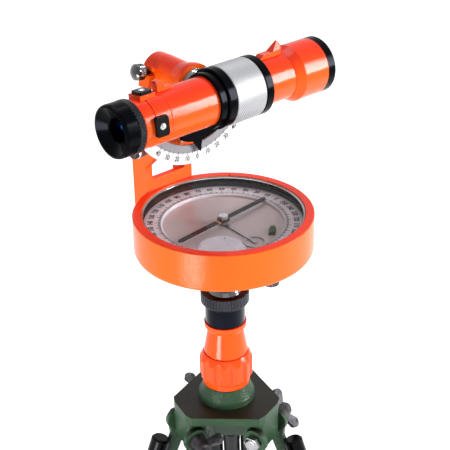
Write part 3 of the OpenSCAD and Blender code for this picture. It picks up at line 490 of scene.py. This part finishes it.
def glass_material(name, colour, roughness, ior):
    """Clear glass with a faint film, which lets lamplight through without caustics."""
    material, tree = bare_material(name)
    film = noise(tree, tree_node(tree, "TexCoord").outputs["Object"], 90.0)
    filmed = tuple(part * 0.94 for part in colour[:3]) + (1.0,)
    shader = tree_node(tree, "BsdfPrincipled", {
        "Transmission Weight": 1.0, "IOR": ior,
        "Base Color": mixed(tree, film, colour, filmed),
        "Roughness": maths(tree, "MULTIPLY_ADD", film, 0.02, roughness)})
    clear = tree_node(tree, "BsdfTransparent", {"Color": colour})
    rays = tree_node(tree, "LightPath").outputs
    lets_light = maths(tree, "MAXIMUM", rays["Is Shadow Ray"], rays["Is Diffuse Ray"])
    mix = tree_node(tree, "MixShader", {0: lets_light, 1: shader, 2: clear})
    tree_node(tree, "OutputMaterial", {"Surface": mix})
    return material


dress(glass_material("clear_glass", (0.97, 0.975, 0.98, 1.0), 0.0, 1.09), "cover_glass")


# Dial ring.
# A flat silvered ring, brushed round and printed in dark ink: a line for every degree, longer
# ones at five and ten, and a number every ten degrees, rising anticlockwise from the sight line.
silvered = surface_material("silvered_ring", turned_metal, {
    "Colour": (0.62, 0.58, 0.62, 1.0), "Ring Pitch": 3200.0, "Gloss": 0.42, "Haze": 0.12},
    bump=0.08, bump_depth=0.00004, Metallic=0.25)
dress(silvered, "dial_ring")
ink = surface_material("printing_ink", paint_and_shading, {
    "Side Colour": (0.018, 0.016, 0.02, 1.0), "Top Colour With Painted Shading": (0.018, 0.016, 0.02, 1.0),
    "Peel Size": 3000.0, "Gloss": 0.5}, bump=0.05, bump_depth=0.00001, Specular_IOR_Level=0.2)
ink_thickness = 0.00006


def spun_marks(inner, outer, width, first, count, step, placing):
    """A flat scale: one printed line, reaching out from the centre, repeated round it.

    It is drawn round the origin, and placing puts it where it belongs.
    """
    bpy.ops.object.select_all(action="DESELECT")
    bpy.ops.mesh.primitive_cube_add(size=1.0)
    mark = bpy.context.active_object
    mark.scale = (outer - inner, width, ink_thickness)
    mark.location = ((outer + inner) / 2.0, 0.0, ink_thickness / 2.0)
    bpy.ops.object.transform_apply(location=True, rotation=True, scale=True)
    mark.data.transform(Matrix.Rotation(math.radians(first), 4, "Z"))
    mark.data.transform(placing)
    bpy.ops.object.mode_set(mode="EDIT")
    bpy.ops.mesh.select_all(action="SELECT")
    bpy.ops.mesh.spin(steps=count - 1, dupli=True, angle=-math.radians(step * (count - 1)),
                      center=placing.translation, axis=placing.col[2].xyz)
    bpy.ops.object.mode_set(mode="OBJECT")
    mark.data.materials.append(ink)
    return mark


def joined(name, things):
    bpy.ops.object.select_all(action="DESELECT")
    for thing in things:
        thing.select_set(True)
    bpy.context.view_layer.objects.active = things[0]
    bpy.ops.object.join()
    whole = bpy.context.active_object
    whole.name = name
    return whole


def printed_number(words, height, narrow, weight, placing):
    """Figures of a given height, made narrower and bolder than the plain font."""
    figure_height_to_size = 0.72
    bpy.ops.object.select_all(action="DESELECT")
    bpy.ops.object.text_add()
    letters = bpy.context.active_object.data
    letters.body = words
    letters.size = height / figure_height_to_size
    letters.offset = weight * height
    letters.extrude = ink_thickness / 2.0
    letters.resolution_u = 3
    letters.align_x = "CENTER"
    letters.align_y = "CENTER"
    bpy.ops.object.convert(target="MESH")
    number = bpy.context.active_object
    number.data.transform(placing @ Matrix.Diagonal((narrow, 1.0, 1.0, 1.0)))
    number.data.materials.clear()
    number.data.materials.append(ink)
    return number


def add_dial_graduations():
    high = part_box("dial_ring")[1]
    side, front, up = Vector((1.0, 0.0, 0.0)), Vector((0.0, 1.0, 0.0)), Vector((0.0, 0.0, 1.0))
    dial = placed(side, front, up, Vector((0.0, 0.0, high.z)))
    inner = 0.0409
    marks = [
        spun_marks(inner, 0.0426, 0.00022, 0.0, 360, 1.0, dial),
        spun_marks(inner, 0.0434, 0.00038, 0.0, 72, 5.0, dial),
        spun_marks(inner, 0.0442, 0.00052, 0.0, 36, 10.0, dial)]
    number_radius = high.x - 0.0046
    for value in range(0, 360, 10):
        angle = math.radians(90.0 + value)
        outward = Vector((math.cos(angle), math.sin(angle), 0.0))
        right = Vector((math.sin(angle), -math.cos(angle), 0.0))
        spot = outward * number_radius + up * (high.z + ink_thickness / 2.0)
        marks.append(printed_number(
            str(value), 0.0036, 0.8, 0.05, placed(right, outward, up, spot)))
    whole = joined("dial_graduations", marks)
    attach(whole, "alidade")


add_dial_graduations()


# Dial plate.
# The floor of the dial is a pinkish grey lacquered plate, and a round white enamelled plate
# is let into its near side. Both are left plain.
# its top is painted lighter than its edges, as light falls on it: painted light
dial_lacquer = surface_material("dial_lacquer", paint_and_shading, {
    "Side Colour": (0.34, 0.28, 0.285, 1.0), "Top Colour With Painted Shading": (0.46, 0.38, 0.385, 1.0),
    "Peel Size": 2600.0, "Gloss": 0.34},
    bump=0.12, bump_depth=0.00004, Metallic=0.2, Specular_IOR_Level=0.35)
dress(dial_lacquer, "dial_plate")
white_enamel = surface_material("white_enamel", cast_skin, {
    "Colour": (0.66, 0.64, 0.70, 1.0), "Hollow Colour": (0.56, 0.53, 0.60, 1.0),
    "Grain": 420.0, "Gloss": 0.3}, bump_depth=0.00004)
dress(white_enamel, "round_plate")


# Needle.
# A flat magnet steel bar, blackened, with a bright turned cap over its jewel. It turns on a
# hardened brass pivot, and a few turns of copper wire on its south arm balance it.
needle_black = surface_material("needle_black", paint_and_shading, {
    "Side Colour": (0.010, 0.010, 0.011, 1.0), "Top Colour With Painted Shading": (0.014, 0.013, 0.015, 1.0),
    "Peel Size": 2200.0, "Gloss": 0.4}, bump_depth=0.00003, Specular_IOR_Level=0.12)
needle_low, needle_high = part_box("needle")
cap_radius = 0.0034
bar_top = needle_low.z + 0.0012
second_finish(needle_black, well_mask, {
    "Radius": cap_radius, "Low": bar_top, "High": needle_high.z + 0.001},
    Base_Color=(0.55, 0.54, 0.56, 1.0), Roughness=0.12, Metallic=1.0)
dress(needle_black, "needle")
pivot_brass = surface_material("pivot_brass", turned_metal, {
    "Colour": (0.42, 0.25, 0.12, 1.0), "Gloss": 0.2, "Haze": 0.2},
    bump_depth=0.00005, Metallic=1.0)
dress(pivot_brass, "needle_pivot")


def wire_ring(radius, wire, segments, *moves):
    """A round ring of wire about Z, changed by each of the matrices in turn."""
    bpy.ops.object.select_all(action="DESELECT")
    bpy.ops.mesh.primitive_torus_add(
        major_radius=radius, minor_radius=wire, major_segments=segments, minor_segments=8)
    ring = bpy.context.active_object
    for move in moves:
        ring.data.transform(move)
    return ring


def joined_rings(name, rings, material):
    whole = joined(name, rings)
    whole.data.materials.clear()
    whole.data.materials.append(material)
    bpy.ops.object.shade_smooth()
    return whole


def add_balance_coil():
    """Four turns of wire, each an oval ring round the arm, side by side along it."""
    arm_bearing = math.radians(95.2 + 180.0)
    arm_middle = needle_low.z + 0.0006
    wire = 0.00022
    winding_slant = math.radians(7.0)
    turns = [wire_ring(
        0.0011, wire, 28,
        Matrix.Diagonal((0.72, 1.85, 1.0, 1.0)),
        Matrix.Rotation(math.radians(90.0), 4, "Y"),
        Matrix.Rotation(winding_slant, 4, "Z"),
        Matrix.Translation((0.0052 + index * wire * 2.1, 0.0, 0.0)),
        Matrix.Rotation(arm_bearing, 4, "Z"),
        Matrix.Translation((0.0, 0.0, arm_middle))) for index in range(4)]
    copper = surface_material("coil_copper", turned_metal, {
        "Colour": (0.5, 0.22, 0.12, 1.0), "Gloss": 0.22, "Haze": 0.15},
        bump=0.05, bump_depth=0.00003, Metallic=1.0)
    coil = joined_rings("needle_balance_coil", turns, copper)
    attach(coil, "needle")


add_balance_coil()


# Needle lifter.
# A stamped steel lever with an open eye at its end lifts the needle off its pivot for
# carrying. The knurled knob under the box works it.
lifter_steel = surface_material("lifter_steel", drawn_metal, {
    "Colour": (0.36, 0.33, 0.33, 1.0), "Tube Way": (0.87, -0.5, 0.0), "Gloss": 0.3},
    bump=0.08, bump_depth=0.00003, Metallic=0.8)
dress(lifter_steel, "lifter")


# Box level.
# A small sealed vial of green spirit, let into the dial plate in plaster, with two dark rings
# that mark the bubble's middle place.
dress(glass_material("green_vial", (0.30, 0.60, 0.13, 1.0), 0.02, 1.3), "box_vial")


def add_vial_rings():
    low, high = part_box("box_vial")
    just_round_the_glass = (high.z - low.z) / 2.0 + 0.00006
    vial_bearing = math.radians(132.0)
    rings = [wire_ring(
        just_round_the_glass, 0.00013, 40,
        Matrix.Rotation(math.radians(90.0), 4, "Y"),
        Matrix.Translation((offset, 0.0, 0.0)),
        Matrix.Rotation(vial_bearing, 4, "Z"),
        Matrix.Translation((low + high) / 2.0)) for offset in (-0.0011, 0.0011)]
    pair = joined_rings("vial_rings", rings, ink)
    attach(pair, "alidade")


add_vial_rings()


# Standard.
# One painted aluminium casting: a post screwed to the side of the box, a window through its
# slant, and the head that the trunnion turns in, split by a clamp screw at the back.
# faces that look up are painted deeper and redder, a painted shade
standard_paint = surface_material("standard_paint", paint_and_shading, {
    "Side Colour": (0.90, 0.115, 0.006, 1.0), "Top Colour With Painted Shading": (0.80, 0.028, 0.003, 1.0),
    "Top From": 0.05, "Peel Size": 1000.0, "Gloss": 0.12},
    bump=0.3, bump_depth=0.00014, edge=0.0007, Specular_IOR_Level=0.16)
dress(standard_paint, "standard")
tube_low, tube_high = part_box("tube_main")
sight_axis = Vector((0.0, 0.0, tube_low.z / 2.0 + tube_high.z / 2.0))
# the shaft and clamp knob chrome hold a painted reflection, dark in the middle and pale at the
# edges
shaft_chrome = chrome_material(
    "shaft_chrome", (0.35, 0.35, 0.36, 1.0), (0.7, 0.7, 0.72, 1.0), gloss=0.1,
    point=tuple(sight_axis), way=(1.0, 0.0, 0.0))
dress(shaft_chrome, "trunnion_shaft")
clamp_knob_chrome = chrome_material(
    "clamp_knob_chrome", (0.06, 0.058, 0.06, 1.0), (0.34, 0.34, 0.35, 1.0), gloss=0.1,
    point=(-0.055, -0.0196, 0.2512), way=(0.0, -0.98, 0.2))
dress(clamp_knob_chrome, "tilt_screw")


# Level tube of the standard.
# A glass vial in a chromed steel sleeve, with a dark cap at its outer end. Its inner end is
# cemented into the standard behind the arc.
def band_mask_group():
    """1 between two places along Y."""
    group, given, out = new_group("band_mask", {"From": 0.0, "To": 1.0}, ["Fac"])
    place = tree_node(group, "TexCoord").outputs["Object"]
    parts = tree_node(group, "SeparateXYZ", {0: place}).outputs
    feed(group, out, {"Fac": between(group, parts["Y"], given["From"], given["To"])})
    return group


band_mask = band_mask_group()
level_low, level_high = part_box("level_tube")
along_y = (0.0, 1.0, 0.0)
level_chrome = surface_material("level_chrome", turned_metal, {
    "Colour": (0.6, 0.6, 0.62, 1.0), "Axis Point": tuple((level_low + level_high) / 2.0),
    "Axis Way": along_y, "Gloss": 0.1, "Haze": 0.12},
    bump=0.05, bump_depth=0.00003, Metallic=1.0)
# first the dark cap, then the stretch where the vial shows, glossy and reddish: a painted
# reflection of the orange standard
second_finish(level_chrome, band_mask, {
    "From": level_low.y - 0.001, "To": level_low.y + 0.0024},
    Base_Color=(0.05, 0.048, 0.045, 1.0), Roughness=0.35)
second_finish(level_chrome, band_mask, {
    "From": level_low.y + 0.0044, "To": level_low.y + 0.019},
    Base_Color=(0.30, 0.10, 0.09, 1.0), Roughness=0.06, Metallic=0.4)
dress(level_chrome, "level_tube")


# Telescope tubes and open sights.
# The rear and front tubes are turned aluminium under the same orange paint. Two small cast
# sights are screwed on top for pointing, a notch behind and a blade in front.
# their faces that look up are painted deeper and redder, a painted shade
dress(orange_paint, "tube_main", "tube_front", "rear_sight", "front_sight")


# Focusing ring and its bands.
# A bare aluminium ring with a fine slanting knurl rolled into it turns between two black
# anodised bands and moves the inner lens.
def slanting_knurl_group():
    """Two crossing sets of rolled ridges round the sight axis, one set deeper, with painted shade
    in the grooves.
    """
    group, given, out = new_group("slanting_knurl", {
        "Colour": (0.8, 0.8, 0.8, 1.0), "Axis Height": 0.2455, "Ridges": 150.0,
        "Slant": 6000.0, "Gloss": 0.3, "Painted Groove Shade": 0.7})
    place = tree_node(group, "TexCoord").outputs["Object"]
    parts = tree_node(group, "SeparateXYZ", {0: place}).outputs
    lift = maths(group, "SUBTRACT", parts["Z"], given["Axis Height"])
    phase = maths(group, "MULTIPLY", maths(group, "ARCTAN2", lift, parts["X"]), given["Ridges"])
    along = maths(group, "MULTIPLY", parts["Y"], given["Slant"])
    deep, shallow = [
        maths(group, "SINE", maths(group, "MULTIPLY_ADD", along, sign, phase))
        for sign in (1.0, -1.0)]
    height = tree_node(group, "MapRange", {
        "Value": maths(group, "MULTIPLY_ADD", shallow, 0.3, deep),
        "From Min": -1.3, "From Max": 1.3})
    feed(group, out, {
        "Color": mottled(group, given["Colour"], height, given["Painted Groove Shade"], 1.0),
        "Roughness": maths(group, "MULTIPLY_ADD", height, -0.1, given["Gloss"]),
        "Height": height})
    return group


slanting_knurl = slanting_knurl_group()
# the knurl's grooves are painted darker, a painted shade
knurled_aluminium = surface_material("knurled_aluminium", slanting_knurl, {
    "Colour": (0.43, 0.435, 0.455, 1.0), "Axis Height": sight_axis.z, "Ridges": 64.0,
    "Slant": 4200.0, "Gloss": 0.42, "Painted Groove Shade": 0.62},
    bump=0.5, bump_depth=0.0003, Metallic=0.5)
dress(knurled_aluminium, "focus_ring")
bluish = (0.72, 0.8, 1.0, 1.0)
black_anodised = surface_material("black_anodised", turned_metal, {
    "Colour": (0.0012, 0.0012, 0.0018, 1.0), "Axis Point": tuple(sight_axis),
    "Axis Way": along_y, "Gloss": 0.12, "Haze": 0.1},
    bump=0.08, bump_depth=0.00004, Specular_IOR_Level=0.04, Specular_Tint=bluish)
dress(black_anodised, "band_rear", "band_front")


# Objective.
# A black anodised ring holds the coated front lens, cemented into its cell.
dress(black_anodised, "objective_ring")
dress(glass_material("coated_lens", (0.30, 0.45, 0.80, 1.0), 0.01, 1.5), "objective_lens")


# Eyepiece.
# The dioptre ring is black anodised with a knurled band to grip, and behind it the moulded
# eyecup is dished round the small coated eye lens.
# the knurl's grooves are painted darker, a painted shade
knurled_black = surface_material("knurled_black", slanting_knurl, {
    "Colour": (0.012, 0.014, 0.021, 1.0), "Axis Height": sight_axis.z, "Ridges": 44.0,
    "Slant": 2700.0, "Gloss": 0.3, "Painted Groove Shade": 0.1},
    bump=1.0, bump_depth=0.0005, Specular_IOR_Level=0.15)
dress(knurled_black, "diopter_ring")
cup_moulding = surface_material("cup_moulding", turned_metal, {
    "Colour": (0.0012, 0.0012, 0.0018, 1.0), "Axis Point": tuple(sight_axis),
    "Axis Way": along_y, "Ring Pitch": 1800.0, "Gloss": 0.14, "Haze": 0.08},
    bump=0.05, bump_depth=0.00004, Specular_IOR_Level=0.035, Specular_Tint=bluish)
dress(cup_moulding, "eyecup")
eye_coating = surface_material("eye_coating", turned_metal, {
    "Colour": (0.002, 0.024, 0.12, 1.0), "Axis Point": tuple(sight_axis),
    "Axis Way": along_y, "Gloss": 0.05, "Haze": 0.04},
    bump=0.0, bump_depth=0.00001, Metallic=0.8, Coat_Weight=0.2, Coat_Roughness=0.03)
dress(eye_coating, "eye_lens")


def lens_glint_group():
    """A painted glint: a small blue spot on the lens that glows, standing for daylight thrown back
    by its coating.
    """
    group, given, out = new_group("lens_glint", {
        "Glint Colour": (0.004, 0.16, 0.62, 1.0), "Centre": (0.0, 0.0, 0.0), "Radius": 0.0019},
        ["Color"])
    place = tree_node(group, "TexCoord").outputs["Object"]
    away = tree_node(group, "VectorMath", {0: place, 1: given["Centre"]}, operation="DISTANCE")
    fall = tree_node(group, "MapRange", {
        "Value": away.outputs["Value"], "From Max": given["Radius"],
        "To Min": 1.0, "To Max": 0.0}, interpolation_type="SMOOTHSTEP")
    feed(group, out, {"Color": mixed(group, fall, (0.0, 0.0, 0.0, 1.0), given["Glint Colour"])})
    return group


# the lens gives off the painted glint as light of its own
glint_spot = (-0.0045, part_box("eye_lens")[0].y + 0.0004, sight_axis.z - 0.0021)
glint = tree_node(
    eye_coating.node_tree, "Group", {"Centre": glint_spot}, node_tree=lens_glint_group())
feed(eye_coating.node_tree, node_of(eye_coating, "BsdfPrincipled"), {
    "Emission Strength": 1.0, "Emission Color": glint})


# Reticle covers.
# Three small moulded covers with rounded corners hide the adjusting screws of the reticle.
# A chromed screw with a slotted head holds each one.
cover_plastic = surface_material("cover_plastic", paint_and_shading, {
    "Side Colour": (0.003, 0.003, 0.004, 1.0), "Top Colour With Painted Shading": (0.004, 0.004, 0.005, 1.0),
    "Peel Size": 1500.0, "Gloss": 0.26}, bump=0.2, bump_depth=0.00006, Specular_IOR_Level=0.09)
dress(cover_plastic, "reticle_covers")
screw_chrome = surface_material("screw_chrome", turned_metal, {
    "Colour": (0.5, 0.5, 0.5, 1.0), "Gloss": 0.14, "Haze": 0.2},
    bump=0.05, bump_depth=0.00003, Metallic=1.0)
dress(screw_chrome, "cover_screws")


# Saddle and pointer.
# A black anodised saddle clamps the rear tube to the trunnion shaft, and the pointer cut from
# the same piece reads the arc.
dress(black_anodised, "saddle")


# Vertical arc.
# A white enamelled plate is screwed to the standard. A grey band along its inner edge is
# ruled in single degrees, with ticks at five and ten and numbers from nought to forty both ways.
def ruled_band_group():
    """White enamel with a grey band, ruled with fine radial lines, round the trunnion axis."""
    group, given, out = new_group("ruled_band", {
        "Enamel": (0.8, 0.8, 0.8, 1.0), "Band": (0.3, 0.3, 0.3, 1.0),
        "Line": (0.1, 0.1, 0.1, 1.0), "Axis Height": 0.2455, "Inner": 0.04, "Outer": 0.046})
    place = tree_node(group, "TexCoord").outputs["Object"]
    parts = tree_node(group, "SeparateXYZ", {0: place}).outputs
    lift = maths(group, "SUBTRACT", parts["Z"], given["Axis Height"])
    flat = tree_node(group, "CombineXYZ", {"X": parts["Y"], "Y": lift})
    radius = tree_node(group, "VectorMath", {0: flat}, operation="LENGTH")
    band = between(group, radius.outputs["Value"], given["Inner"], given["Outer"])
    turn = maths(group, "ARCTAN2", lift, parts["Y"])
    wave = maths(group, "COSINE", maths(group, "MULTIPLY", turn, 360.0))
    rule = tree_node(group, "MapRange", {"Value": wave, "From Min": 0.1, "From Max": 0.8})
    ruled = mixed(group, rule, given["Band"], given["Line"])
    film = noise(group, place, 700.0)
    feed(group, out, {
        "Color": mixed(group, band, given["Enamel"], ruled),
        "Roughness": maths(group, "MULTIPLY_ADD", film, 0.12, 0.3),
        "Height": film})
    return group


arc_enamel = surface_material("arc_enamel", ruled_band_group(), {
    "Enamel": (0.80, 0.80, 0.82, 1.0), "Band": (0.36, 0.355, 0.38, 1.0),
    "Line": (0.15, 0.148, 0.16, 1.0), "Axis Height": sight_axis.z,
    "Inner": 0.0400, "Outer": 0.0460}, bump=0.06, bump_depth=0.00003, Specular_IOR_Level=0.35)
dress(arc_enamel, "arc_plate")


def add_arc_graduations():
    centre = Vector((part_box("arc_plate")[1].x, 0.0, sight_axis.z))
    side, front, up = Vector((1.0, 0.0, 0.0)), Vector((0.0, 1.0, 0.0)), Vector((0.0, 0.0, 1.0))
    # angles are measured from +Y towards +Z, so straight down is 270
    arc = placed(front, up, side, centre)
    inner = 0.0448
    marks = [
        spun_marks(inner, 0.0469, 0.00032, 220.0, 21, 5.0, arc),
        spun_marks(inner, 0.0477, 0.00038, 230.0, 9, 10.0, arc)]
    number_radius = 0.0497
    for value in range(-40, 50, 10):
        angle = math.radians(value)
        right = Vector((0.0, math.cos(angle), math.sin(angle)))
        inward = Vector((0.0, -math.sin(angle), math.cos(angle)))
        spot = centre - inward * number_radius + side * (ink_thickness / 2.0)
        marks.append(printed_number(
            str(abs(value)), 0.0033, 0.85, 0.03, placed(right, inward, side, spot)))
    whole = joined("arc_graduations", marks)
    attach(whole, "alidade")


add_arc_graduations()
